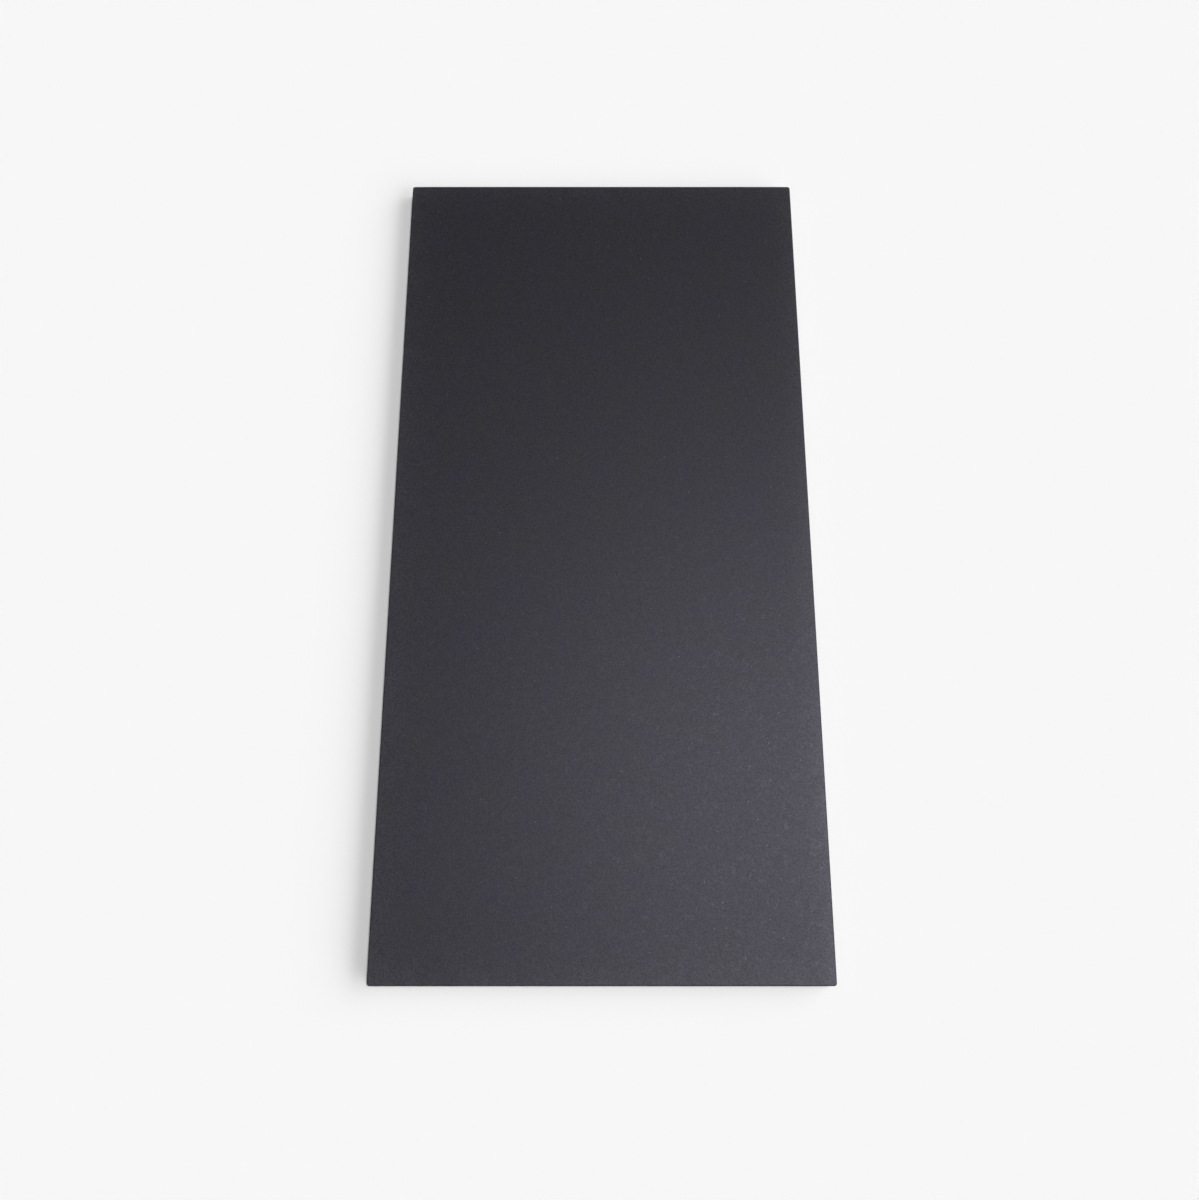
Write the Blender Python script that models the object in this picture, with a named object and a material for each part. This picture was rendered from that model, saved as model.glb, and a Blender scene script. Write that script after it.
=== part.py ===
"""Laminated cutting board: rubber sheets on both sides of a timber core, sealed by rubber edge strips.

Units are metres and +Z is up. The origin is the middle of the underside, and the long sides run along Y.
Every glued joint is left open by one glue line, so each piece stays a solid of its own.
"""

import math

import bmesh
import bpy

# Outer size of the board, seen from above
BOARD_LENGTH = 0.500
BOARD_WIDTH = 0.250
CORNER_RADIUS = 0.0015

# Layers, from the cutting surface down to the underside
FACE_THICKNESS = 0.0022
CORE_THICKNESS = 0.0050
GLUE_LINE = 0.0003
ARRIS_RADIUS = 0.0007

# Pieces that lie side by side in the middle layer
EDGE_STRIP_WIDTH = 0.008
SLAT_COUNT = 8

# Facets along a rounded corner and along a rounded arris
CORNER_SEGMENTS = 6
ARRIS_SEGMENTS = 3
CIRCULAR_PROFILE = 0.5
SMOOTH_ANGLE = math.radians(35)

# Finishes, with linear colours
FACE_RUBBER_COLOUR = (0.021, 0.020, 0.024)
FACE_RUBBER_ROUGHNESS = 0.55
EDGE_RUBBER_COLOUR = (0.024, 0.023, 0.026)
EDGE_RUBBER_ROUGHNESS = 0.65
TIMBER_COLOUR = (0.62, 0.46, 0.29)
TIMBER_ROUGHNESS = 0.70

# The middle layer rests on the lower face sheet, and the upper face sheet on the middle layer
BOARD_THICKNESS = 2 * (FACE_THICKNESS + GLUE_LINE) + CORE_THICKNESS
MIDDLE_Z = BOARD_THICKNESS / 2
UPPER_FACE_Z = BOARD_THICKNESS - FACE_THICKNESS / 2
LOWER_FACE_Z = FACE_THICKNESS / 2

# The end strips fit between the side strips, and the slats fill what the four strips enclose
SIDE_STRIP_X = (BOARD_WIDTH - EDGE_STRIP_WIDTH) / 2
END_STRIP_Y = (BOARD_LENGTH - EDGE_STRIP_WIDTH) / 2
INNER_WIDTH = BOARD_WIDTH - 2 * (EDGE_STRIP_WIDTH + GLUE_LINE)
INNER_LENGTH = BOARD_LENGTH - 2 * (EDGE_STRIP_WIDTH + GLUE_LINE)
SLAT_WIDTH = (INNER_WIDTH - (SLAT_COUNT - 1) * GLUE_LINE) / SLAT_COUNT
SLAT_PITCH = SLAT_WIDTH + GLUE_LINE

HALF_TURN = math.pi


def clear_scene():
    for obj in list(bpy.data.objects):
        bpy.data.objects.remove(obj)


def make_finish(name, colour, roughness):
    """A non-metal Principled material in one colour."""
    finish = bpy.data.materials.new(name)
    finish.use_nodes = True
    shader = finish.node_tree.nodes["Principled BSDF"]
    shader.inputs["Base Color"].default_value = (*colour, 1.0)
    shader.inputs["Roughness"].default_value = roughness
    shader.inputs["Metallic"].default_value = 0.0
    return finish


def make_block(width, length, height):
    """A box on its own centre: width along X, length along Y, height along Z."""
    block = bmesh.new()
    bmesh.ops.create_cube(block, size=1.0)
    bmesh.ops.scale(block, vec=(width, length, height), verts=block.verts)
    return block


def edge_middle(edge):
    return (edge.verts[0].co + edge.verts[1].co) / 2


def is_upright(edge):
    first, last = (vert.co for vert in edge.verts)
    return abs(first.x - last.x) + abs(first.y - last.y) < abs(first.z - last.z)


def round_edges(block, edges, radius, segments):
    bmesh.ops.bevel(
        block,
        geom=edges,
        offset=radius,
        segments=segments,
        profile=CIRCULAR_PROFILE,
        affect="EDGES",
        clamp_overlap=True,
    )


def finish_mesh(name, block, finish):
    """The block as a mesh that carries its finish, smooth over its rounded edges."""
    mesh = bpy.data.meshes.new(name)
    block.to_mesh(mesh)
    block.free()
    mesh.materials.append(finish)
    mesh.shade_smooth()
    mesh.set_sharp_from_angle(angle=SMOOTH_ANGLE)
    return mesh


def face_sheet_mesh(rubber):
    """A sheet with rounded plan corners and an eased arris round its outer face, which is its +Z side."""
    sheet = make_block(BOARD_WIDTH, BOARD_LENGTH, FACE_THICKNESS)
    corners = [edge for edge in sheet.edges if is_upright(edge)]
    round_edges(sheet, corners, CORNER_RADIUS, CORNER_SEGMENTS)
    outer_rim = [edge for edge in sheet.edges if edge_middle(edge).z > 0]
    round_edges(sheet, outer_rim, ARRIS_RADIUS, ARRIS_SEGMENTS)
    return finish_mesh("face_sheet", sheet, rubber)


def side_strip_mesh(rubber):
    """A bar as long as the board, with the board's plan corners on its outer side, which is its +X side."""
    strip = make_block(EDGE_STRIP_WIDTH, BOARD_LENGTH, CORE_THICKNESS)
    corners = [edge for edge in strip.edges if is_upright(edge) and edge_middle(edge).x > 0]
    round_edges(strip, corners, CORNER_RADIUS, CORNER_SEGMENTS)
    return finish_mesh("side_strip", strip, rubber)


def end_strip_mesh(rubber):
    """A square-cut bar that fits between the two side strips."""
    strip = make_block(INNER_WIDTH, EDGE_STRIP_WIDTH, CORE_THICKNESS)
    return finish_mesh("end_strip", strip, rubber)


def core_slat_mesh(timber):
    """A planed slat, as long as the space between the end strips."""
    slat = make_block(SLAT_WIDTH, INNER_LENGTH, CORE_THICKNESS)
    return finish_mesh("core_slat", slat, timber)


def place(name, mesh, board, location, rotation=(0.0, 0.0, 0.0)):
    """A piece of the board. Like pieces share a mesh."""
    piece = bpy.data.objects.new(name, mesh)
    piece.location = location
    piece.rotation_euler = rotation
    piece.parent = board
    bpy.context.scene.collection.objects.link(piece)


def build_face_sheets(board, rubber):
    """The same sheet twice: eased side up on top, and turned over underneath."""
    mesh = face_sheet_mesh(rubber)
    place("upper_face_sheet", mesh, board, (0, 0, UPPER_FACE_Z))
    place("lower_face_sheet", mesh, board, (0, 0, LOWER_FACE_Z), (HALF_TURN, 0, 0))


def build_edge_strips(board, rubber):
    """Two full-length side strips, and two end strips that butt against them."""
    side = side_strip_mesh(rubber)
    place("right_edge_strip", side, board, (SIDE_STRIP_X, 0, MIDDLE_Z))
    place("left_edge_strip", side, board, (-SIDE_STRIP_X, 0, MIDDLE_Z), (0, 0, HALF_TURN))
    end = end_strip_mesh(rubber)
    place("rear_edge_strip", end, board, (0, END_STRIP_Y, MIDDLE_Z))
    place("front_edge_strip", end, board, (0, -END_STRIP_Y, MIDDLE_Z))


def build_core(board, timber):
    """Slats side by side from left to right, one glue line apart."""
    mesh = core_slat_mesh(timber)
    first_x = -SLAT_PITCH * (SLAT_COUNT - 1) / 2
    for index in range(SLAT_COUNT):
        x = first_x + index * SLAT_PITCH
        place(f"core_slat_{index + 1}", mesh, board, (x, 0, MIDDLE_Z))


def main():
    clear_scene()
    board = bpy.data.objects.new("board", None)
    bpy.context.scene.collection.objects.link(board)
    face_rubber = make_finish("grained_black_rubber", FACE_RUBBER_COLOUR, FACE_RUBBER_ROUGHNESS)
    edge_rubber = make_finish("sanded_black_rubber", EDGE_RUBBER_COLOUR, EDGE_RUBBER_ROUGHNESS)
    timber = make_finish("planed_light_timber", TIMBER_COLOUR, TIMBER_ROUGHNESS)
    build_face_sheets(board, face_rubber)
    build_edge_strips(board, edge_rubber)
    build_core(board, timber)


if __name__ == "__main__":
    main()
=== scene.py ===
"""Looks of a laminated rubber cutting board, laid out as an add-on and run as a script.

The rubber pieces and the glue between them are closed slabs worked out as numpy arrays. The timber slats
inside keep their solids. The stage holds a pale floor, soft lamps and the camera. Units are metres, and +Z
is up.
"""

import math

import bpy
import numpy as np
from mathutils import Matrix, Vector


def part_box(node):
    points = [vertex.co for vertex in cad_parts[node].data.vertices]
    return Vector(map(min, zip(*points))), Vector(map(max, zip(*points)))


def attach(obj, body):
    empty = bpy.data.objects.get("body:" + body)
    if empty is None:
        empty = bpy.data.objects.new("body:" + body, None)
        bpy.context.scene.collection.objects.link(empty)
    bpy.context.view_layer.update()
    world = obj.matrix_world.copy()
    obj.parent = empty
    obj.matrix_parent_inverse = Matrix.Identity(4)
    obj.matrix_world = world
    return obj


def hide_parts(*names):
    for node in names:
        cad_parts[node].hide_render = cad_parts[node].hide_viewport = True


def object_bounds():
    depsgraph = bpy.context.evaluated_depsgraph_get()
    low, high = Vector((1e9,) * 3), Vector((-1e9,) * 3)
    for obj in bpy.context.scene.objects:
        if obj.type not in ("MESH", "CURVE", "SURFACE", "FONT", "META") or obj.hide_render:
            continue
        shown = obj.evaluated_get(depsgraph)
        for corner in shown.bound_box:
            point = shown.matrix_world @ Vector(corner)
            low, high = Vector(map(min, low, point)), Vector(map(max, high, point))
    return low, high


bl_info = {
    "name": "Rubber Cutting Board",
    "version": (1, 0, 0),
    "blender": (4, 5, 0),
    "location": "3D View > Sidebar > Cutting Board",
    "description": "Dresses a laminated rubber cutting board and sets its stage",
    "category": "Object",
}

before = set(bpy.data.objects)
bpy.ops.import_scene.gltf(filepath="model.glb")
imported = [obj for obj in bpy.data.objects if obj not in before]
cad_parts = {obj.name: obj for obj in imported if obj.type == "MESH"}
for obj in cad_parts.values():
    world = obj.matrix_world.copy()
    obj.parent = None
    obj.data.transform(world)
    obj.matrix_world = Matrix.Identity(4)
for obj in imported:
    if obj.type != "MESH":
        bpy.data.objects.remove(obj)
CAD_LOW, CAD_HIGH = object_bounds()
BODY = "root"

# The frame's own sizes
HALF_WIDTH = (CAD_HIGH.x - CAD_LOW.x) / 2
HALF_LENGTH = (CAD_HIGH.y - CAD_LOW.y) / 2
UPPER_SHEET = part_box("upper_face_sheet")
LOWER_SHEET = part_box("lower_face_sheet")
SIDE_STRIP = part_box("right_edge_strip")
END_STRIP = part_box("rear_edge_strip")
STRIP_WIDTH = SIDE_STRIP[1].x - SIDE_STRIP[0].x
SLATS = sorted(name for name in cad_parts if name.startswith("core_slat"))
SLAT_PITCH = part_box(SLATS[1])[0].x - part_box(SLATS[0])[0].x

FULL_TURN = 2 * math.pi
QUARTER_TURN = math.pi / 2

# Grid lines over a rounded arris, a rounded corner and the stretch where a face falls away
ARRIS_STEPS = 8
CORNER_STEPS = 6
FALL_STEPS = 8

# Decimals of a metre to which neighbouring grid lines are told apart
LINE_DECIMALS = 8

# How far the long waves in a face lean away from its sides, and how much longer they are along the board
# than across it
WAVE_LEAN = 0.3
WAVE_STRETCH = 1.6

# How many times the radius of its rounded edges goes into the thickness of a glue line
BEAD_PARTS = 3

# The values between which a noise texture mostly lies
NOISE_LOW = 0.33
NOISE_HIGH = 0.67

# Layers of finer noise in the rubber's grain and scuffs, in its patches and drift, in the sanding marks, in
# the glue and in the timber's fibres
GRAIN_DETAIL = 1.0
PATCH_DETAIL = 2.0
MARK_DETAIL = 3.0
GLUE_DETAIL = 2.0
FIBRE_DETAIL = 2.0

# Scuffs: how wide their lines are and how much of them is broken away, in steps of their noise, and the size
# of the breaks compared with that of the scuffs
SCUFF_LINE = 0.27
SCUFF_BREAK = 0.65
BREAK_STRETCH = math.sqrt(2)

# How rare large flecks are among small ones, and the part of the largest radius over which a fleck fades
FLECK_RARITY = 15.0
FLECK_EDGE = 0.5

# What is left of the paler edges, rubbed wear and painted highlight, after each reach from the rim
WEAR_AND_HIGHLIGHT_FADE = 0.5

# How much patches vary the paler edges, which are rubbed wear and painted highlight, and how strongly
# scuffs and sanding marks show in the rubber's colour
WEAR_AND_HIGHLIGHT_PATCHINESS = 0.25
SCUFF_TONE = 0.2
MARK_TONE = 0.25

# What the grain, scuffs, flecks, rubbed edges and sanding marks add to the rubber's roughness
GRAIN_ROUGHNESS = -0.016
SCUFF_ROUGHNESS = -0.027
FLECK_ROUGHNESS = -0.11
WEAR_ROUGHNESS = -0.05
MARK_ROUGHNESS = 0.06

# Height of the sanding marks, compared with the grain
MARK_RELIEF = 2.0

# Scale of timber rings and fibres along a slat, compared with their scale across it
RING_STRETCH = 0.06
FIBRE_STRETCH = 0.02

# How far the growth rings wander, in how many layers of noise, and at which scale
RING_WANDER = 3.0
RING_DETAIL = 3.0
RING_DETAIL_SCALE = 0.4

# Part of the growth rings' darkness that is left in the palest fibres
PALE_FIBRE = 0.5

# Angle through which a wave texture of scale 1 turns over one unit, and the length of one of its waves
WAVE_TEXTURE_TURN = 20
WAVE_TEXTURE_PERIOD = FULL_TURN / WAVE_TEXTURE_TURN

# The floor is matte and has no gloss
FLOOR_ROUGHNESS = 1.0
FLOOR_GLOSS = 0.0

# Steps of the side lamps along their fan
SIDE_LAMPS = {"front_side_lamp": -1, "middle_side_lamp": 0, "rear_side_lamp": 1}


def length_property(name, description, default, precision=5):
    """A length that a user can change."""
    return bpy.props.FloatProperty(
        name=name, description=description, default=default, min=0, unit="LENGTH", precision=precision
    )


def share_property(name, description, default):
    """A number from 0 to 1 that a user can change."""
    return bpy.props.FloatProperty(
        name=name, description=description, default=default, min=0, max=1, subtype="FACTOR"
    )


def angle_property(name, description, degrees):
    """An angle that a user can change."""
    return bpy.props.FloatProperty(
        name=name, description=description, default=math.radians(degrees), subtype="ANGLE"
    )


def colour_property(name, description, default):
    """A linear colour that a user can change."""
    return bpy.props.FloatVectorProperty(
        name=name, description=description, default=default, min=0, max=1, subtype="COLOR"
    )


class BoardShape(bpy.types.PropertyGroup):
    """Fine shape of the rubber pieces and of the glue between them."""

    corner_radius: length_property(
        "Corner Radius", "Radius of the board's corners, seen from above", 0.0015
    )
    arris_radius: length_property(
        "Arris Radius", "Radius of the eased edge round each cutting face", 0.0007
    )
    seam_radius: length_property(
        "Seam Radius", "Radius of the trimmed edges that meet at a glue line", 0.00012
    )
    edge_fall: length_property(
        "Edge Fall", "How far a cutting face falls away at its edges, where it was sanded", 0.00012
    )
    edge_fall_reach: length_property(
        "Edge Fall Reach", "Width of the stretch where a cutting face falls away", 0.012
    )
    wave_height: length_property(
        "Wave Height", "Height of the long, shallow waves that pressing leaves in a cutting face", 0.00003
    )
    wave_length: length_property(
        "Wave Length", "Length of the long, shallow waves in a cutting face", 0.13
    )
    strip_recess: length_property(
        "Strip Recess", "How far the edge strips stand back from the face sheets", 0.00005
    )
    glue_recess: length_property(
        "Glue Recess", "How far the glue stands back from the face sheets", 0.00016
    )
    face_pitch: length_property(
        "Face Pitch", "Largest distance between grid lines on a cutting face", 0.004
    )
    flat_pitch: length_property(
        "Flat Pitch", "Largest distance between grid lines on the flat strips and glue lines", 0.025
    )


class RubberLook(bpy.types.PropertyGroup):
    """Finish of the black rubber."""

    cool_colour: colour_property(
        "Cool Colour", "Colour of the rubber where it is bluest", (0.0115, 0.0109, 0.0161)
    )
    warm_colour: colour_property(
        "Warm Colour", "Colour of the rubber where it is most neutral", (0.0117, 0.0116, 0.0121)
    )
    # Paler edge colour: partly rubbed wear, partly a painted highlight along the edges and corners; the
    # scuffs use it too
    worn_and_highlight_colour: colour_property(
        "Worn And Highlight Colour", "Colour of the rubber where its edges are rubbed", (0.033, 0.0325, 0.0365)
    )
    fleck_colour: colour_property(
        "Fleck Colour", "Colour of the mineral flecks in the rubber", (0.060, 0.057, 0.064)
    )
    gloss_tint: colour_property(
        "Gloss Tint", "Tint of the rubber's soft gloss", (0.85, 0.825, 1.0)
    )
    gloss: share_property(
        "Gloss", "Strength of the rubber's soft gloss, where 0.5 is that of common plastic", 0.424
    )
    face_roughness: share_property(
        "Face Roughness", "Roughness of the cutting faces", 0.485
    )
    side_roughness: share_property(
        "Side Roughness", "Roughness of the sanded sides", 0.62
    )
    grain_size: length_property(
        "Grain Size", "Size of the fine grain in the rubber's surface", 0.0008
    )
    grain_height: length_property(
        "Grain Height", "Height of the fine grain above and below the rubber's surface", 0.000005, precision=7
    )
    grain_contrast: share_property(
        "Grain Contrast", "How much the grain darkens and lightens the rubber", 0.42
    )
    scuff_size: length_property(
        "Scuff Size", "Size of the hair-fine scuffs on the faces", 0.004
    )
    # The patches also break up the painted highlight along the edges
    patch_size: length_property(
        "Patch Size", "Size of the patches in which the edges are rubbed", 0.014
    )
    drift_size: length_property(
        "Drift Size", "Size of the stretches in which the rubber is cool or warm", 0.018
    )
    fleck_spacing: length_property(
        "Fleck Spacing", "Typical distance between neighbouring flecks", 0.0016
    )
    fleck_size: length_property(
        "Fleck Size", "Radius of the largest flecks", 0.0005
    )
    # The paler edges fade over this reach: rubbed wear and a painted highlight
    wear_and_highlight_reach: length_property(
        "Wear And Highlight Reach", "Distance from the edges over which their paler, rubbed look fades by half", 0.0062
    )
    mark_length: length_property(
        "Sanding Mark Length", "Length of the sanding marks on the sides", 0.03
    )
    mark_width: length_property(
        "Sanding Mark Width", "Width of the sanding marks on the sides", 0.0006
    )


class CoreLook(bpy.types.PropertyGroup):
    """Finish of the glue and of the timber inside the board."""

    glue_colour: colour_property(
        "Glue Colour", "Colour of the glue at the seams where it is thick", (0.013, 0.012, 0.012)
    )
    thin_glue_colour: colour_property(
        "Thin Glue Colour", "Colour of the glue at the seams where it is thin", (0.007, 0.006, 0.006)
    )
    glue_run: length_property(
        "Glue Run", "Length of the stretches in which the glue is thick or thin", 0.0045
    )
    glue_roughness: share_property(
        "Glue Roughness", "Roughness of the glue where it is thick", 0.45
    )
    thin_glue_roughness: share_property(
        "Thin Glue Roughness", "Roughness of the glue where it is thin", 0.7
    )
    timber_colour: colour_property(
        "Timber Colour", "Colour of the pale early wood", (0.62, 0.46, 0.29)
    )
    late_wood_colour: colour_property(
        "Late Wood Colour", "Colour of the darker late wood", (0.42, 0.27, 0.14)
    )
    timber_roughness: share_property(
        "Timber Roughness", "Roughness of the pale early wood", 0.72
    )
    late_wood_roughness: share_property(
        "Late Wood Roughness", "Roughness of the darker late wood", 0.55
    )
    ring_spacing: length_property(
        "Ring Spacing", "Distance between growth rings across a slat", 0.0035
    )
    fibre_width: length_property(
        "Fibre Width", "Width of the timber's fibres", 0.0004
    )
    fibre_height: length_property(
        "Fibre Height", "Height of the timber's fibres above and below a slat's surface", 0.00002
    )


class StageLook(bpy.types.PropertyGroup):
    """Floor, lamps and camera."""

    floor_colour: colour_property(
        "Floor Colour", "Colour of the floor and of the studio wall", (0.93, 0.93, 0.93)
    )
    dusk_colour: colour_property(
        "Dusk Colour", "Light that the studio itself sheds, away from its lamps", (0.02, 0.02, 0.02)
    )
    wall_height: angle_property(
        "Wall Height", "Height above the horizon up to which the wall mirrors in the board", 20
    )
    floor_reach: length_property(
        "Floor Reach", "Distance from the board to the end of the floor", 20.0, precision=1
    )
    side_share: share_property(
        "Side Light", "Share of the floor's light that comes from the row of side lamps", 0.403
    )
    side_parts: bpy.props.FloatVectorProperty(
        name="Side Parts",
        description="How the side light is split between the front, the middle and the rear side lamp",
        default=(0.38, 0.26, 0.36),
    )
    side_azimuth: angle_property(
        "Side Azimuth", "Direction of the middle side lamp, counted from the right towards the rear", -8
    )
    side_fan: angle_property(
        "Side Fan", "Angle between neighbouring side lamps", 32
    )
    side_elevation: angle_property(
        "Side Elevation", "Height of the side lamps above the horizon", 28
    )
    side_spread: angle_property(
        "Side Spread", "Width of a side lamp as the board sees it, which softens its shadow", 40
    )
    top_share: share_property(
        "Top Light", "Share of the floor's light that comes from the overhead lamp", 0.483
    )
    top_azimuth: angle_property(
        "Top Azimuth",
        "Direction in which the overhead lamp leans, counted from the right towards the rear",
        17.5,
    )
    top_elevation: angle_property(
        "Top Elevation", "Height of the overhead lamp above the horizon", 76.2
    )
    top_spread: angle_property(
        "Top Spread", "Width of the overhead lamp as the board sees it", 7.2
    )
    fill_share: share_property(
        "Fill Light", "Share of the floor's light that comes from the broad fill lamp", 0.094
    )
    fill_azimuth: angle_property(
        "Fill Azimuth", "Direction in which the fill lamp leans, counted from the right towards the rear", 228
    )
    fill_elevation: angle_property(
        "Fill Elevation", "Height of the fill lamp above the horizon", 80.7
    )
    fill_spread: angle_property(
        "Fill Spread", "Width of the fill lamp as the board sees it", 65
    )
    camera_elevation: angle_property(
        "Camera Elevation", "Height of the camera above the horizon", 73.42
    )
    camera_distance: length_property(
        "Camera Distance", "Distance from the camera to the point it looks at", 0.6292, precision=4
    )
    camera_aim: bpy.props.FloatVectorProperty(
        name="Camera Aim",
        description="Point on the cutting face that the camera looks at",
        default=(-0.0012, -0.0363),
        size=2,
        unit="LENGTH",
        precision=4,
    )
    camera_lens: bpy.props.FloatProperty(
        name="Camera Lens",
        description="Focal length in millimetres on a 36 mm sensor",
        default=32.15,
        unit="CAMERA",
    )


class CuttingBoard(bpy.types.PropertyGroup):
    """All that a user would change."""

    shape: bpy.props.PointerProperty(type=BoardShape)
    rubber: bpy.props.PointerProperty(type=RubberLook)
    core: bpy.props.PointerProperty(type=CoreLook)
    stage: bpy.props.PointerProperty(type=StageLook)


def rim_lines(arris, corner, reach):
    """Distances from a rim at which grid lines run.

    Over the arris they stand at even angles of its quarter circle: radius times one minus the cosine. From
    there to the plan corner's radius they are evenly spaced. From that radius out to the reach, their
    distance grows with the square of their number.
    """
    turn = np.linspace(0, QUARTER_TURN, ARRIS_STEPS + 1)
    over_arris = arris * (1 - np.cos(turn))
    over_corner = np.linspace(arris, max(corner, arris), CORNER_STEPS + 1)
    growth = np.linspace(0, 1, FALL_STEPS + 1) ** 2
    over_fall = over_corner[-1] + max(reach - over_corner[-1], 0) * growth
    return np.unique(np.round(np.concatenate([over_arris, over_corner, over_fall]), LINE_DECIMALS))


def axis_lines(low, high, rim, pitch):
    """Grid lines from low to high: the rim's lines at both ends, and between them even lines.

    The even lines are no more than a pitch apart.
    """
    rim = rim[rim < (high - low) / 2]
    first, last = low + rim[-1], high - rim[-1]
    count = max(math.ceil((last - first) / pitch), 1)
    middle = np.linspace(first, last, count + 1)[1:-1]
    return np.concatenate([low + rim, middle, (high - rim)[::-1]])


def round_corners(x, y, low, high, left_radius, right_radius):
    """Plan positions and rim distances of a grid over a rectangle whose corners are rounded.

    A corner's square, as long as its radius, becomes a quarter disc: with a and b running from 0 to 1 across
    the square, a becomes a times the root of one minus half of b squared, and b likewise. The distance from
    the rim is then the radius times one minus the root of (a squared plus b squared minus their product).
    """
    middle_x, middle_y = (low.x + high.x) / 2, (low.y + high.y) / 2
    half_x, half_y = (high.x - low.x) / 2, (high.y - low.y) / 2
    radius = np.where(x > middle_x, right_radius, left_radius)
    off_x, off_y = np.abs(x - middle_x), np.abs(y - middle_y)
    a = np.clip((off_x - (half_x - radius)) / radius, 0, 1)
    b = np.clip((off_y - (half_y - radius)) / radius, 0, 1)
    round_x = np.minimum(off_x, half_x - radius) + radius * a * np.sqrt(1 - b * b / 2)
    round_y = np.minimum(off_y, half_y - radius) + radius * b * np.sqrt(1 - a * a / 2)
    rim_distance = radius * (1 - np.sqrt(a * a + b * b - a * a * b * b))
    plan_x = middle_x + np.sign(x - middle_x) * round_x
    plan_y = middle_y + np.sign(y - middle_y) * round_y
    return plan_x, plan_y, rim_distance


def arris_drop(rim_distance, radius):
    """How far a quarter-circle arris lies below its face, at a distance from the rim."""
    short = radius - np.minimum(rim_distance, radius)
    return radius - np.sqrt(radius * radius - short * short)


def grid_quads(columns, rows):
    """Corner indices of the cells of a grid of points, row by row.

    Blender cuts a quad into triangles from its first point. So each cell starts with a point whose cut runs
    from the grid's nearest corner towards the middle, because a cut across a rounded corner leaves a sliver.
    """
    column, row = np.indices((columns - 1, rows - 1))
    cell = column * rows + row
    quads = np.stack([cell, cell + rows, cell + rows + 1, cell + 1], axis=-1)
    across = (column < columns // 2) != (row < rows // 2)
    quads[across] = np.roll(quads[across], 1, axis=-1)
    return quads.reshape(-1, 4)


def grid_border(columns, rows):
    """Indices of a grid's border points, once round, against the clock seen from above."""
    index = np.arange(columns * rows).reshape(columns, rows)
    return np.concatenate([index[:-1, 0], index[-1, :-1], index[:0:-1, -1], index[0, :0:-1]])


def slab_arrays(low, high, radii, arrises, pitch, reach=0.0, top_depth=None, bottom_depth=None):
    """Points and quads of a closed slab: two height fields over one grid, joined round their common border.

    radii are those of the left and the right plan corners, and arrises those of the upper and the lower edge.
    top_depth and bottom_depth, if given, say how far each face lies inside the slab's box at a plan position.
    """
    if sum(arrises) > high.z - low.z:
        raise ValueError("The eased edges are deeper than the slab is thick")
    if 2 * max(radii) > min(high.x - low.x, high.y - low.y):
        raise ValueError("The corners are rounder than the slab is wide")
    rim = rim_lines(max(arrises), max(radii), reach)
    x_lines = axis_lines(low.x, high.x, rim, pitch)
    y_lines = axis_lines(low.y, high.y, rim, pitch)
    x, y = np.meshgrid(x_lines, y_lines, indexing="ij")
    plan_x, plan_y, rim_distance = round_corners(x, y, low, high, *radii)
    top = high.z - arris_drop(rim_distance, arrises[0])
    bottom = low.z + arris_drop(rim_distance, arrises[1])
    if top_depth is not None:
        top = top - top_depth(plan_x, plan_y)
    if bottom_depth is not None:
        bottom = bottom + bottom_depth(plan_x, plan_y)
    upper = np.stack([plan_x, plan_y, top], axis=-1).reshape(-1, 3)
    lower = np.stack([plan_x, plan_y, bottom], axis=-1).reshape(-1, 3)
    cells = grid_quads(*x.shape)
    turned_cells = np.roll(cells[:, ::-1], 1, axis=-1)
    border = grid_border(*x.shape)
    following = np.roll(border, -1)
    wall = np.stack([border + len(upper), following + len(upper), following, border], axis=-1)
    points = np.concatenate([upper, lower])
    quads = np.concatenate([cells, turned_cells + len(upper), wall])
    return points, quads


def add_piece(name, points, quads, finish):
    """A smooth mesh object at the origin, riding on the board."""
    mesh = bpy.data.meshes.new(name)
    mesh.from_pydata(points, [], quads)
    mesh.shade_smooth()
    mesh.materials.append(finish)
    piece = bpy.data.objects.new(name, mesh)
    bpy.context.scene.collection.objects.link(piece)
    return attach(piece, BODY)


def face_depth(shape):
    """A function for how far a cutting face lies inside the board's box.

    Towards each edge the face falls by the square of the way into its last stretch. All over it has long
    waves: half the wave height times one plus the product of a sine across and a cosine along.
    """

    def fall(distance):
        return np.clip(1 - distance / shape.edge_fall_reach, 0, 1) ** 2

    def depth(x, y):
        edges = fall(HALF_WIDTH - np.abs(x)) + fall(HALF_LENGTH - np.abs(y))
        across = np.sin(FULL_TURN * (x + WAVE_LEAN * y) / shape.wave_length)
        along = np.cos(FULL_TURN * (y - WAVE_LEAN * x) / (WAVE_STRETCH * shape.wave_length))
        return shape.edge_fall * edges + shape.wave_height * (1 + across * along) / 2

    return depth


def set_input(tree, socket, value):
    """Links a socket to an output, or sets it to a number, a colour or a vector."""
    if isinstance(value, bpy.types.NodeSocket):
        tree.links.new(value, socket)
    elif socket.type == "RGBA":
        socket.default_value = (*value, 1.0)
    else:
        socket.default_value = value


def add_node(tree, kind, inputs=None, **settings):
    """A shader node with its settings, and its inputs linked or set."""
    node = tree.nodes.new(kind)
    for name, value in settings.items():
        setattr(node, name, value)
    for name, value in (inputs or {}).items():
        set_input(tree, node.inputs[name], value)
    return node


def add_math(tree, operation, *values, clamp=False):
    """A Math node's result, with outputs or numbers as its values."""
    node = add_node(tree, "ShaderNodeMath", dict(enumerate(values)), operation=operation, use_clamp=clamp)
    return node.outputs[0]


def add_ramp(tree, value, start, end, low=0.0, high=1.0):
    """A smooth step from low at start to high at end."""
    inputs = {"Value": value, "From Min": start, "From Max": end, "To Min": low, "To Max": high}
    return add_node(tree, "ShaderNodeMapRange", inputs, interpolation_type="SMOOTHSTEP").outputs[0]


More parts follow.
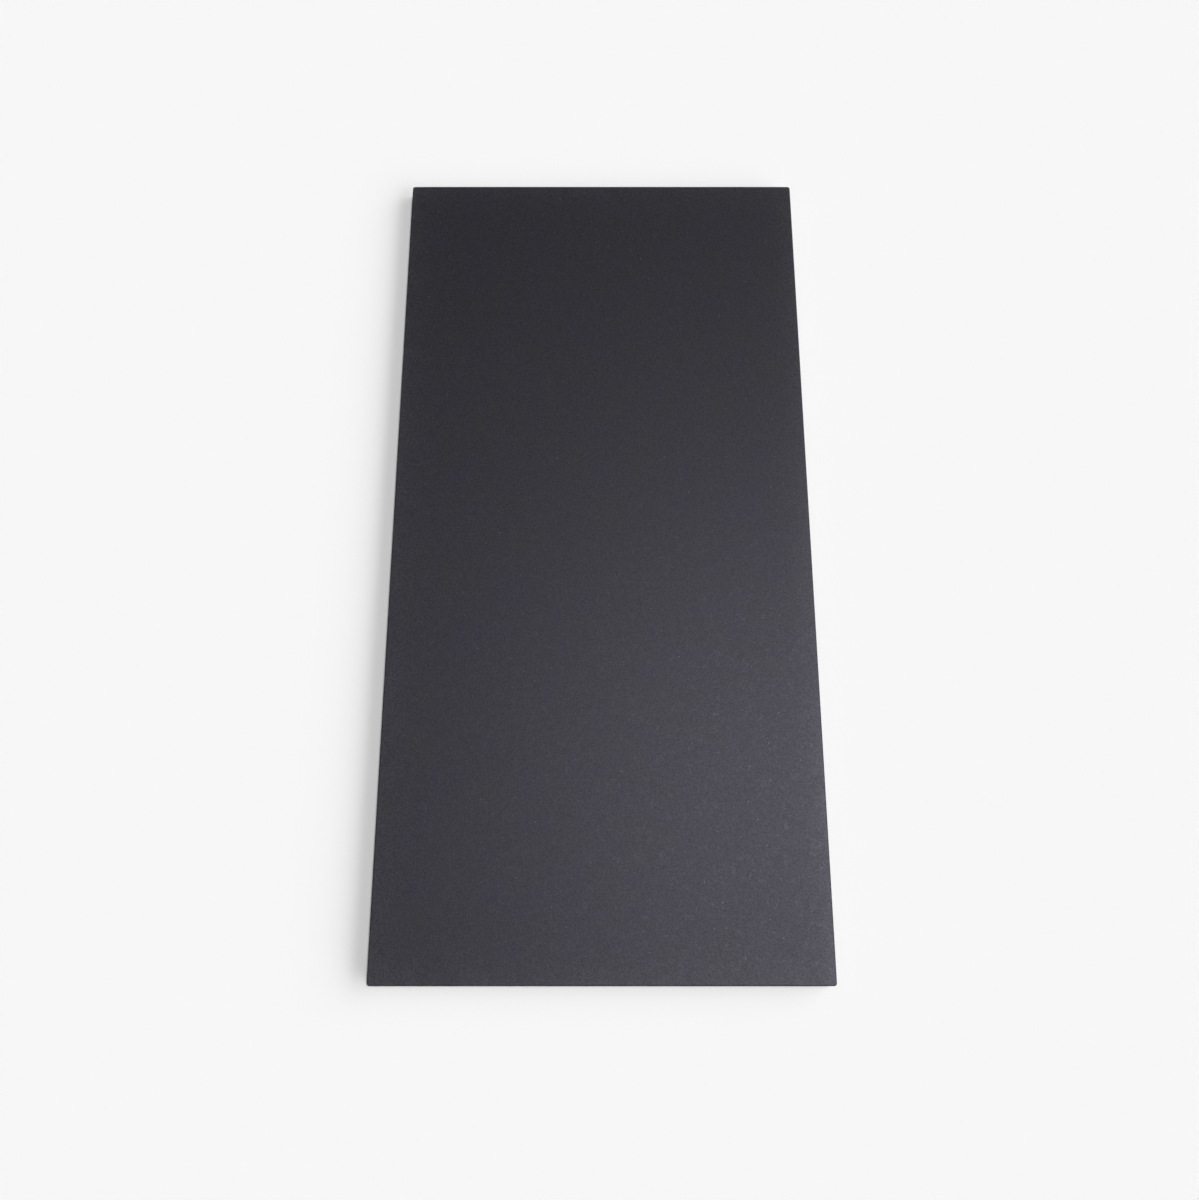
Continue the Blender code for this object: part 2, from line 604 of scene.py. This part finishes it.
def add_mix(tree, factor, first, second):
    """A colour mixed from first to second."""
    node = add_node(tree, "ShaderNodeMix", data_type="RGBA")
    sockets = {socket.identifier: socket for socket in (*node.inputs, *node.outputs)}
    set_input(tree, sockets["Factor_Float"], factor)
    set_input(tree, sockets["A_Color"], first)
    set_input(tree, sockets["B_Color"], second)
    return sockets["Result_Color"]


def add_noise(tree, place, size, detail=0.0, low=-1.0):
    """Noise of a size, mostly between low and one but with peaks beyond them."""
    scale = add_math(tree, "DIVIDE", 1.0, size)
    noise = add_node(tree, "ShaderNodeTexNoise", {"Vector": place, "Scale": scale, "Detail": detail})
    inputs = {"Value": noise.outputs["Fac"], "From Min": NOISE_LOW, "From Max": NOISE_HIGH}
    inputs.update({"To Min": low, "To Max": 1.0})
    return add_node(tree, "ShaderNodeMapRange", inputs, clamp=False).outputs[0]


def new_group(name, inputs, outputs):
    """An empty shader node group that takes a position and named sizes, and its input and output sockets."""
    group = bpy.data.node_groups.new(name, "ShaderNodeTree")
    group.interface.new_socket("Position", in_out="INPUT", socket_type="NodeSocketVector")
    for socket in inputs:
        group.interface.new_socket(socket, in_out="INPUT", socket_type="NodeSocketFloat")
    for socket in outputs:
        group.interface.new_socket(socket, in_out="OUTPUT", socket_type="NodeSocketFloat")
    return group, group.nodes.new("NodeGroupInput").outputs, group.nodes.new("NodeGroupOutput").inputs


def rubber_grain_group():
    """Fine grain, hair-fine scuffs, broad patches, a drift of tint and sparse flecks of filled rubber.

    The grain, the patches and the drift are noise of three sizes. A scuff is a stretch of the line where a
    noise of its own is zero, shown only where another noise is high. A fleck is the middle of a cell of a
    Voronoi pattern; its size is a high power of a random number, so that few are large and most are too small
    to see.
    """
    sizes = ("Grain Size", "Scuff Size", "Patch Size", "Drift Size", "Fleck Spacing", "Fleck Size")
    group, given, result = new_group("Rubber grain", sizes, ("Grain", "Scuffs", "Patches", "Drift", "Flecks"))
    place = given["Position"]
    lines = add_math(group, "ABSOLUTE", add_noise(group, place, given["Scuff Size"], GRAIN_DETAIL))
    whole = add_noise(group, place, add_math(group, "MULTIPLY", given["Scuff Size"], BREAK_STRETCH))
    drawn = add_ramp(group, lines, SCUFF_LINE, 0.0)
    scuffs = add_math(group, "MULTIPLY", drawn, add_ramp(group, whole, 0.0, SCUFF_BREAK))
    cell_scale = add_math(group, "DIVIDE", 1.0, given["Fleck Spacing"])
    cells = add_node(group, "ShaderNodeTexVoronoi", {"Vector": place, "Scale": cell_scale})
    random = add_node(group, "ShaderNodeSeparateColor", {"Color": cells.outputs["Color"]})
    largest = add_math(group, "DIVIDE", given["Fleck Size"], given["Fleck Spacing"])
    size = add_math(group, "POWER", random.outputs["Red"], FLECK_RARITY)
    inside = add_math(group, "SUBTRACT", size, add_math(group, "DIVIDE", cells.outputs["Distance"], largest))
    group.links.new(add_noise(group, place, given["Grain Size"], GRAIN_DETAIL), result["Grain"])
    group.links.new(scuffs, result["Scuffs"])
    group.links.new(add_noise(group, place, given["Patch Size"], PATCH_DETAIL), result["Patches"])
    group.links.new(add_noise(group, place, given["Drift Size"], PATCH_DETAIL, low=0.0), result["Drift"])
    group.links.new(add_ramp(group, inside, 0.0, FLECK_EDGE), result["Flecks"])
    return group


def rim_group():
    """How near a point is to the board's rim, and whether it is on the sides.

    The distances are half the width less the size of x, and half the length less the size of y. The nearness
    to a side or an end is one at the rim and halves over each reach. Nearness is the mean of both, so it is
    highest at the corners. The rubber's paler edges come from it: partly rubbed wear, partly a painted
    highlight.
    """
    sizes = ("Half Width", "Half Length", "Reach", "Side Depth")
    group, given, result = new_group("Board rim", sizes, ("Nearness", "Side"))
    place = add_node(group, "ShaderNodeSeparateXYZ", {0: given["Position"]}).outputs
    from_sides = add_math(group, "SUBTRACT", given["Half Width"], add_math(group, "ABSOLUTE", place["X"]))
    from_ends = add_math(group, "SUBTRACT", given["Half Length"], add_math(group, "ABSOLUTE", place["Y"]))
    near_sides = add_math(group, "POWER", WEAR_AND_HIGHLIGHT_FADE, add_math(group, "DIVIDE", from_sides, given["Reach"]))
    near_ends = add_math(group, "POWER", WEAR_AND_HIGHLIGHT_FADE, add_math(group, "DIVIDE", from_ends, given["Reach"]))
    nearness = add_math(group, "DIVIDE", add_math(group, "ADD", near_sides, near_ends), 2.0)
    distance = add_math(group, "MINIMUM", from_sides, from_ends)
    group.links.new(nearness, result["Nearness"])
    group.links.new(add_ramp(group, distance, given["Side Depth"], 0.0), result["Side"])
    return group


def sanding_group():
    """Fine marks that a sanding belt leaves along the sides.

    They are noise stretched along the edge: x plus y runs along whichever side a point is on, and z runs
    across it.
    """
    group, given, result = new_group("Sanding marks", ("Mark Length", "Mark Width"), ("Marks",))
    place = add_node(group, "ShaderNodeSeparateXYZ", {0: given["Position"]}).outputs
    way = add_math(group, "ADD", place["X"], place["Y"])
    along = add_math(group, "DIVIDE", way, given["Mark Length"])
    across = add_math(group, "DIVIDE", place["Z"], given["Mark Width"])
    stretched = add_node(group, "ShaderNodeCombineXYZ", {"X": along, "Y": across})
    group.links.new(add_noise(group, stretched.outputs[0], 1.0, MARK_DETAIL), result["Marks"])
    return group


def add_group(tree, name, maker, place, **sizes):
    """The outputs of a shared node group, which is made on first use, at a position and with sizes."""
    shared = bpy.data.node_groups.get(name) or maker()
    node = add_node(tree, "ShaderNodeGroup", node_tree=shared)
    tree.links.new(place, node.inputs["Position"])
    for size, value in sizes.items():
        node.inputs[size.replace("_", " ").title()].default_value = value
    return node.outputs


def new_finish(name):
    """A material with its node tree, its Principled shader's inputs and its Object coordinates."""
    finish = bpy.data.materials.new(name)
    finish.use_nodes = True
    tree = finish.node_tree
    place = tree.nodes.new("ShaderNodeTexCoord").outputs["Object"]
    return finish, tree, tree.nodes["Principled BSDF"].inputs, place


def add_bump(tree, relief, height):
    """The normal of a surface whose relief runs from minus one to one times a height."""
    return add_node(tree, "ShaderNodeBump", {"Height": relief, "Distance": height}).outputs["Normal"]


def rubber_finish(look, name, side_depth):
    """Black rubber: grained faces, sanded duller sides, and edges paler with rubbed wear and a painted
    highlight.

    The sides' finish fades out over the side depth, counted inwards from the rim.
    """
    finish, tree, shader, place = new_finish(name)
    texture = add_group(
        tree,
        "Rubber grain",
        rubber_grain_group,
        place,
        grain_size=look.grain_size,
        scuff_size=look.scuff_size,
        patch_size=look.patch_size,
        drift_size=look.drift_size,
        fleck_spacing=look.fleck_spacing,
        fleck_size=look.fleck_size,
    )
    rim = add_group(
        tree,
        "Board rim",
        rim_group,
        place,
        half_width=HALF_WIDTH,
        half_length=HALF_LENGTH,
        reach=look.wear_and_highlight_reach,
        side_depth=side_depth,
    )
    sanding = add_group(
        tree,
        "Sanding marks",
        sanding_group,
        place,
        mark_length=look.mark_length,
        mark_width=look.mark_width,
    )
    grain, scuffs, flecks, side = texture["Grain"], texture["Scuffs"], texture["Flecks"], rim["Side"]
    marks = add_math(tree, "MULTIPLY", sanding["Marks"], side)
    # Paler edges and corners: partly rubbed wear, partly a painted highlight in the rubber's colour
    patches = add_math(tree, "MULTIPLY_ADD", texture["Patches"], WEAR_AND_HIGHLIGHT_PATCHINESS, 1.0)
    wear_and_highlight = add_math(tree, "MULTIPLY", rim["Nearness"], patches)

    plain = add_mix(tree, texture["Drift"], look.cool_colour, look.warm_colour)
    # Mixes the painted highlight and the rubbed wear into the colour towards the edges
    worn_and_highlit = add_mix(tree, wear_and_highlight, plain, look.worn_and_highlight_colour)
    tone = add_math(tree, "MULTIPLY_ADD", grain, look.grain_contrast, 1.0)
    tone = add_math(tree, "MULTIPLY_ADD", marks, MARK_TONE, tone)
    grained = add_node(tree, "ShaderNodeVectorMath", {0: worn_and_highlit, 1: tone}, operation="MULTIPLY").outputs[0]
    scuffed = add_mix(tree, add_math(tree, "MULTIPLY", scuffs, SCUFF_TONE), grained, look.worn_and_highlight_colour)
    set_input(tree, shader["Base Color"], add_mix(tree, flecks, scuffed, look.fleck_colour))

    roughness = add_ramp(tree, side, 0.0, 1.0, look.face_roughness, look.side_roughness)
    changes = (
        (grain, GRAIN_ROUGHNESS),
        (scuffs, SCUFF_ROUGHNESS),
        (flecks, FLECK_ROUGHNESS),
        (wear_and_highlight, WEAR_ROUGHNESS),
        (marks, MARK_ROUGHNESS),
    )
    for mask, change in changes:
        roughness = add_math(tree, "MULTIPLY_ADD", mask, change, roughness, clamp=True)
    set_input(tree, shader["Roughness"], roughness)

    relief = add_math(tree, "MULTIPLY_ADD", marks, MARK_RELIEF, grain)
    set_input(tree, shader["Normal"], add_bump(tree, relief, look.grain_height))
    set_input(tree, shader["Specular IOR Level"], look.gloss)
    set_input(tree, shader["Specular Tint"], look.gloss_tint)
    return finish


def glue_finish(core):
    """Dark glue with a faint sheen that comes and goes along the seam."""
    finish, tree, shader, place = new_finish("seam_glue")
    thick = add_noise(tree, place, core.glue_run, GLUE_DETAIL, low=0.0)
    set_input(tree, shader["Base Color"], add_mix(tree, thick, core.thin_glue_colour, core.glue_colour))
    roughness = add_ramp(tree, thick, 0.0, 1.0, core.thin_glue_roughness, core.glue_roughness)
    set_input(tree, shader["Roughness"], roughness)
    return finish


def timber_finish(core):
    """Planed pale timber: growth rings drawn out along the slats, with another cut of wood in each slat.

    The slat's number is its x divided by the slats' pitch, rounded down. A random place for that number
    shifts the rings and the fibres, so that neighbours don't match.
    """
    finish, tree, shader, place = new_finish("planed_light_timber")
    across = add_node(tree, "ShaderNodeSeparateXYZ", {0: place}).outputs["X"]
    number = add_math(tree, "FLOOR", add_math(tree, "DIVIDE", across, SLAT_PITCH))
    cut = add_node(tree, "ShaderNodeTexWhiteNoise", {"W": number}, noise_dimensions="1D").outputs["Color"]
    shifted = add_node(tree, "ShaderNodeVectorMath", {0: place, 1: cut}, operation="ADD").outputs[0]
    ring_place = add_node(tree, "ShaderNodeMapping", {"Vector": shifted, "Scale": (1.0, RING_STRETCH, 1.0)})
    fibre_place = add_node(tree, "ShaderNodeMapping", {"Vector": shifted, "Scale": (1.0, FIBRE_STRETCH, 1.0)})
    rings = add_node(
        tree,
        "ShaderNodeTexWave",
        {
            "Vector": ring_place.outputs[0],
            "Scale": WAVE_TEXTURE_PERIOD / core.ring_spacing,
            "Distortion": RING_WANDER,
            "Detail": RING_DETAIL,
            "Detail Scale": RING_DETAIL_SCALE,
        },
        bands_direction="X",
        wave_profile="SAW",
    )
    fibre = add_noise(tree, fibre_place.outputs[0], core.fibre_width, FIBRE_DETAIL)
    shade = add_ramp(tree, fibre, -1.0, 1.0, low=PALE_FIBRE)
    late = add_math(tree, "MULTIPLY", rings.outputs["Fac"], shade)
    set_input(tree, shader["Base Color"], add_mix(tree, late, core.timber_colour, core.late_wood_colour))
    roughness = add_ramp(tree, late, 0.0, 1.0, core.timber_roughness, core.late_wood_roughness)
    set_input(tree, shader["Roughness"], roughness)
    set_input(tree, shader["Normal"], add_bump(tree, fibre, core.fibre_height))
    return finish


class FaceSheetsOperator(bpy.types.Operator):
    """Make the two rubber face sheets, which are eased at their outer edges and fall away a little there"""

    bl_idname = "cutting_board.face_sheets"
    bl_label = "Face Sheets"

    def execute(self, context):
        board = context.scene.cutting_board
        shape = board.shape
        outer, seam = shape.arris_radius, shape.seam_radius
        half_arris = outer / 2
        finish = rubber_finish(board.rubber, "grained_black_rubber", half_arris)
        common = {
            "radii": (shape.corner_radius, shape.corner_radius),
            "pitch": shape.face_pitch,
            "reach": shape.edge_fall_reach,
        }
        depth = face_depth(shape)
        upper = slab_arrays(*UPPER_SHEET, arrises=(outer, seam), top_depth=depth, **common)
        lower = slab_arrays(*LOWER_SHEET, arrises=(seam, outer), bottom_depth=depth, **common)
        for name, arrays in (("upper_face_sheet", upper), ("lower_face_sheet", lower)):
            piece = add_piece(f"rubber_{name}", *arrays, finish)
            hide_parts(name)
        return {"FINISHED"}


class EdgeStripsOperator(bpy.types.Operator):
    """Make the four rubber edge strips that close the middle layer"""

    bl_idname = "cutting_board.edge_strips"
    bl_label = "Edge Strips"

    def execute(self, context):
        board = context.scene.cutting_board
        shape = board.shape
        finish = rubber_finish(board.rubber, "sanded_black_rubber", STRIP_WIDTH)
        back = Vector((shape.strip_recess, shape.strip_recess, 0))
        outer, seam = shape.corner_radius, shape.seam_radius
        corners = {
            "right_edge_strip": (seam, outer),
            "left_edge_strip": (outer, seam),
            "rear_edge_strip": (seam, seam),
            "front_edge_strip": (seam, seam),
        }
        for name, radii in corners.items():
            low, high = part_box(name)
            low = Vector(map(max, low, CAD_LOW + back))
            high = Vector(map(min, high, CAD_HIGH - back))
            arrays = slab_arrays(low, high, radii, (seam, seam), shape.flat_pitch)
            piece = add_piece(f"rubber_{name}", *arrays, finish)
            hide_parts(name)
        return {"FINISHED"}


class GlueLinesOperator(bpy.types.Operator):
    """Fill the seams with glue: a film under each face sheet, and a line beside each side strip"""

    bl_idname = "cutting_board.glue_lines"
    bl_label = "Glue Lines"

    def execute(self, context):
        board = context.scene.cutting_board
        shape = board.shape
        finish = glue_finish(board.core)
        back = Vector((shape.glue_recess, shape.glue_recess, 0))
        low, high = CAD_LOW + back, CAD_HIGH - back
        strip_low, strip_high = SIDE_STRIP
        end_right = END_STRIP[1].x
        seams = {
            "upper_glue_film": ((low.x, low.y, strip_high.z), (high.x, high.y, UPPER_SHEET[0].z)),
            "lower_glue_film": ((low.x, low.y, LOWER_SHEET[1].z), (high.x, high.y, strip_low.z)),
            "right_glue_line": ((end_right, low.y, strip_low.z), (strip_low.x, high.y, strip_high.z)),
            "left_glue_line": ((-strip_low.x, low.y, strip_low.z), (-end_right, high.y, strip_high.z)),
        }
        for name, (first, last) in seams.items():
            first, last = Vector(first), Vector(last)
            bead = min(last - first) / BEAD_PARTS
            corner = max(shape.corner_radius - shape.glue_recess, bead) if "film" in name else bead
            arrays = slab_arrays(first, last, (corner, corner), (bead, bead), shape.flat_pitch)
            add_piece(name, *arrays, finish)
        return {"FINISHED"}


class TimberCoreOperator(bpy.types.Operator):
    """Give the timber slats inside the board their grain"""

    bl_idname = "cutting_board.timber_core"
    bl_label = "Timber Core"

    def execute(self, context):
        finish = timber_finish(context.scene.cutting_board.core)
        for name in SLATS:
            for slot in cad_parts[name].material_slots:
                slot.material = finish
        return {"FINISHED"}


def sky_direction(azimuth, elevation):
    """The unit vector towards a place in the sky, with azimuth counted from the right towards the rear."""
    level = math.cos(elevation)
    return Vector((level * math.cos(azimuth), level * math.sin(azimuth), math.sin(elevation)))


def add_lamp(name, azimuth, elevation, spread, share):
    """A soft lamp so far off that its light is even.

    Its strength is pi times its share of the floor's light, over the sine of its elevation, so that where the
    shares add up to one a white floor renders white.
    """
    lamp = bpy.data.lights.new(name, "SUN")
    lamp.energy = math.pi * share / math.sin(elevation)
    lamp.angle = spread
    holder = bpy.data.objects.new(name, lamp)
    holder.rotation_mode = "QUATERNION"
    holder.rotation_quaternion = sky_direction(azimuth, elevation).to_track_quat("Z", "Y")
    bpy.context.scene.collection.objects.link(holder)


def add_lamps(stage):
    """An overhead lamp, a broad fill beside it, and a fan of three lamps like a long window on the right."""
    add_lamp("overhead_lamp", stage.top_azimuth, stage.top_elevation, stage.top_spread, stage.top_share)
    add_lamp("fill_lamp", stage.fill_azimuth, stage.fill_elevation, stage.fill_spread, stage.fill_share)
    for (name, step), part in zip(SIDE_LAMPS.items(), stage.side_parts):
        azimuth = stage.side_azimuth + step * stage.side_fan
        add_lamp(name, azimuth, stage.side_elevation, stage.side_spread, part * stage.side_share)


def add_surroundings(stage):
    """A studio as pale as the floor wherever it is looked at, and dim as a light.

    The board's gloss mirrors the pale wall near the horizon, and the dim space above it.
    """
    world = bpy.data.worlds.new("studio")
    bpy.context.scene.world = world
    world.use_nodes = True
    tree = world.node_tree
    direction = tree.nodes.new("ShaderNodeTexCoord").outputs["Generated"]
    height = add_node(tree, "ShaderNodeSeparateXYZ", {0: direction}).outputs["Z"]
    wall = add_ramp(tree, height, math.sin(stage.wall_height), 0.0)
    path = tree.nodes.new("ShaderNodeLightPath").outputs
    seen = add_math(tree, "MAXIMUM", path["Is Camera Ray"], path["Is Transmission Ray"])
    mirrored = add_math(tree, "MULTIPLY", path["Is Glossy Ray"], wall)
    pale = add_math(tree, "MAXIMUM", seen, mirrored)
    colour = add_mix(tree, pale, stage.dusk_colour, stage.floor_colour)
    set_input(tree, tree.nodes["Background"].inputs["Color"], colour)


def add_floor(stage):
    """A flat sheet under the board, matte and almost white."""
    finish, tree, shader, _ = new_finish("pale_floor")
    set_input(tree, shader["Base Color"], stage.floor_colour)
    set_input(tree, shader["Roughness"], FLOOR_ROUGHNESS)
    set_input(tree, shader["Specular IOR Level"], FLOOR_GLOSS)
    lines = np.array([-stage.floor_reach, stage.floor_reach])
    x, y = np.meshgrid(lines, lines, indexing="ij")
    points = np.stack([x, y, np.full_like(x, CAD_LOW.z)], axis=-1).reshape(-1, 3)
    mesh = bpy.data.meshes.new("floor")
    mesh.from_pydata(points, [], grid_quads(*x.shape))
    mesh.materials.append(finish)
    floor = bpy.data.objects.new("floor", mesh)
    bpy.context.scene.collection.objects.link(floor)


def add_camera(stage):
    """A camera in front of the board, looking steeply down at it."""
    aim = Vector((*stage.camera_aim, CAD_HIGH.z))
    back = sky_direction(-QUARTER_TURN, stage.camera_elevation)
    data = bpy.data.cameras.new("camera")
    data.lens = stage.camera_lens
    camera = bpy.data.objects.new("camera", data)
    camera.location = aim + stage.camera_distance * back
    camera.rotation_mode = "QUATERNION"
    camera.rotation_quaternion = back.to_track_quat("Z", "Y")
    bpy.context.scene.collection.objects.link(camera)
    bpy.context.scene.camera = camera


class StageOperator(bpy.types.Operator):
    """Set the pale floor, the soft lamps, the studio round them and the camera"""

    bl_idname = "cutting_board.stage"
    bl_label = "Stage"

    def execute(self, context):
        stage = context.scene.cutting_board.stage
        add_floor(stage)
        add_lamps(stage)
        add_surroundings(stage)
        add_camera(stage)
        context.scene.view_settings.view_transform = "Standard"
        return {"FINISHED"}


class CuttingBoardPanel(bpy.types.Panel):
    """Buttons and settings of the cutting board"""

    bl_idname = "VIEW3D_PT_cutting_board"
    bl_label = "Cutting Board"
    bl_space_type = "VIEW_3D"
    bl_region_type = "UI"
    bl_category = "Cutting Board"

    def draw(self, context):
        board = context.scene.cutting_board
        for operator in OPERATORS:
            self.layout.operator(operator.bl_idname)
        for group in (board.shape, board.rubber, board.core, board.stage):
            box = self.layout.box()
            for name in group.__annotations__:
                box.prop(group, name)


GROUPS = (BoardShape, RubberLook, CoreLook, StageLook, CuttingBoard)
OPERATORS = (FaceSheetsOperator, EdgeStripsOperator, GlueLinesOperator, TimberCoreOperator, StageOperator)
CLASSES = (*GROUPS, *OPERATORS, CuttingBoardPanel)


def register():
    for part in CLASSES:
        bpy.utils.register_class(part)
    bpy.types.Scene.cutting_board = bpy.props.PointerProperty(type=CuttingBoard)


def unregister():
    del bpy.types.Scene.cutting_board
    for part in reversed(CLASSES):
        bpy.utils.unregister_class(part)


def main():
    register()
    bpy.ops.cutting_board.face_sheets()
    bpy.ops.cutting_board.edge_strips()
    bpy.ops.cutting_board.glue_lines()
    bpy.ops.cutting_board.timber_core()
    bpy.ops.cutting_board.stage()


if __name__ == "__main__":
    main()
